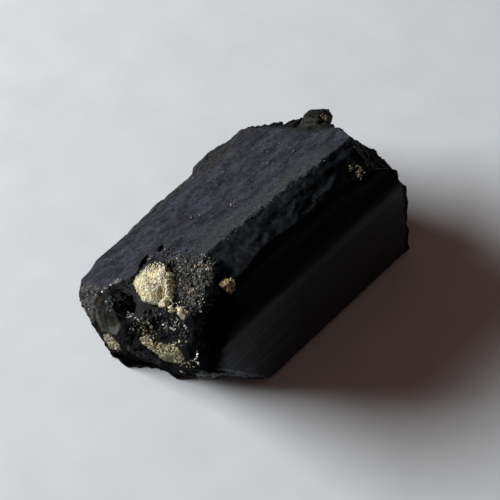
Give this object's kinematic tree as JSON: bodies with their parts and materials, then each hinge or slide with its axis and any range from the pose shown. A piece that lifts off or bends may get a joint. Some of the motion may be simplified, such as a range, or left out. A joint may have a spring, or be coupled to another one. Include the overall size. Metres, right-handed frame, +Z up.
{
  "type": "tourmaline crystal",
  "caption": "Stubby black tourmaline prism with broken ends, lying on one long face, with grains of feldspar and mica grown into one end.",
  "frame": {"origin": "under the middle of the crystal's bounding box, on the surface it rests on", "axes": "+X along the crystal's long c axis, from the pocketed broken end to the squarer broken end; +Z up"},
  "size_m": [0.0782, 0.0554, 0.0348],
  "materials": {
    "schorl": "matte charcoal black on the upper face, darker and glossier on the sides, with fine striations along the prism and sparkling broken ends"
  },
  "bodies": {
    "root": {"tourmaline_crystal": "schorl"}
  },
  "joints": []
}
